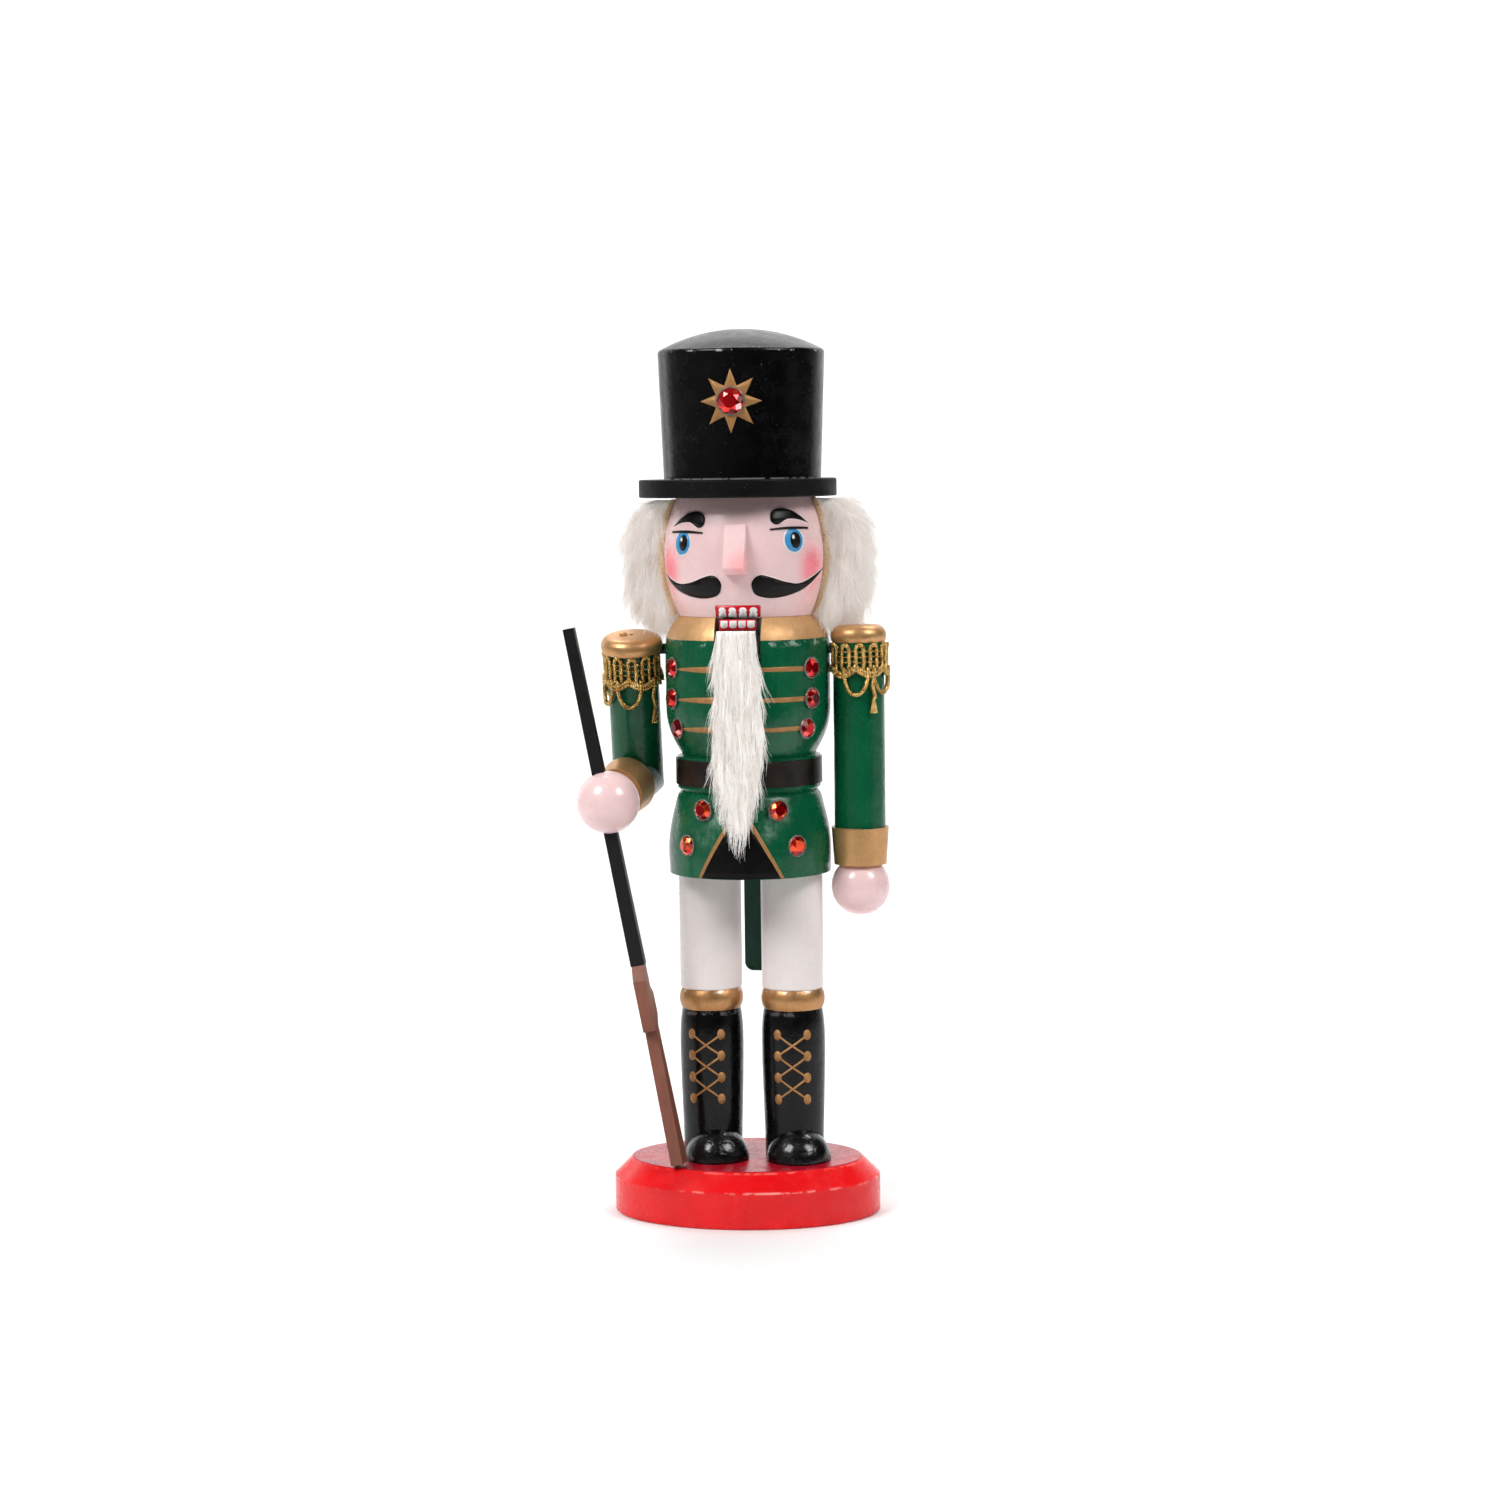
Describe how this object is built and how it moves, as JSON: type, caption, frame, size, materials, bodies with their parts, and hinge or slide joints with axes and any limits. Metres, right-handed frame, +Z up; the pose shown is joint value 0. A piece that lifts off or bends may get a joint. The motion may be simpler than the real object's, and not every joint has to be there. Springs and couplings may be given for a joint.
{
  "type": "nutcracker figure",
  "caption": "Standing painted wooden guard figure on an oval base, with a lever-worked jaw; a seasonal shelf decoration.",
  "frame": {"origin": "on the base's underside, midway between the two legs, on the surface it stands on", "axes": "+Z up, the figure faces -Y, +X is the figure's own left"},
  "size_m": [0.0888, 0.0632, 0.25],
  "materials": {
    "base_paint": "gloss",
    "screw_steel": "satin",
    "leg_paint": "gloss",
    "boot_black": "gloss",
    "raw_wood": "matte",
    "coat_green": "gloss",
    "belt_black": "gloss",
    "gem_red": "polished",
    "pin_steel": "satin",
    "skin_paint": "gloss",
    "fur": "matte",
    "hat_black": "gloss",
    "sleeve_green": "gloss",
    "lace_gold": "satin",
    "rifle_paint": "satin",
    "lever_green": "gloss"
  },
  "bodies": {
    "root": {"base": "base_paint", "base_screws": "screw_steel", "left_leg": "leg_paint", "right_leg": "leg_paint", "left_shoe": "boot_black", "right_shoe": "boot_black", "leg_dowels": "raw_wood", "torso": "coat_green", "belt": "belt_black", "neck_dowels": "raw_wood", "jaw_pin": "pin_steel", "head": "skin_paint", "nose": "skin_paint", "hair": "fur", "hat_brim": "hat_black", "hat_crown": "hat_black", "hat_dowel": "raw_wood", "hat_gem": "gem_red", "left_arm": "sleeve_green", "left_hand": "skin_paint", "left_hand_dowel": "raw_wood", "left_shoulder_dowel": "raw_wood", "left_epaulette": "lace_gold", "right_upper_arm": "sleeve_green", "right_forearm": "sleeve_green", "elbow_dowel": "raw_wood", "right_hand": "skin_paint", "right_hand_dowel": "raw_wood", "right_shoulder_dowel": "raw_wood", "right_epaulette": "lace_gold", "rifle": "rifle_paint", "chest_gems": "gem_red", "skirt_gems": "gem_red"},
    "jaw": {"jaw_lever": "lever_green", "beard": "fur"}
  },
  "joints": [
    {"name": "jaw_hinge", "type": "hinge", "parent": "root", "child": "jaw", "pos_m": [0, 0.002, 0.156], "axis": [1, 0, 0], "range_deg": [0, 18], "deforming": ["beard"]}
  ]
}
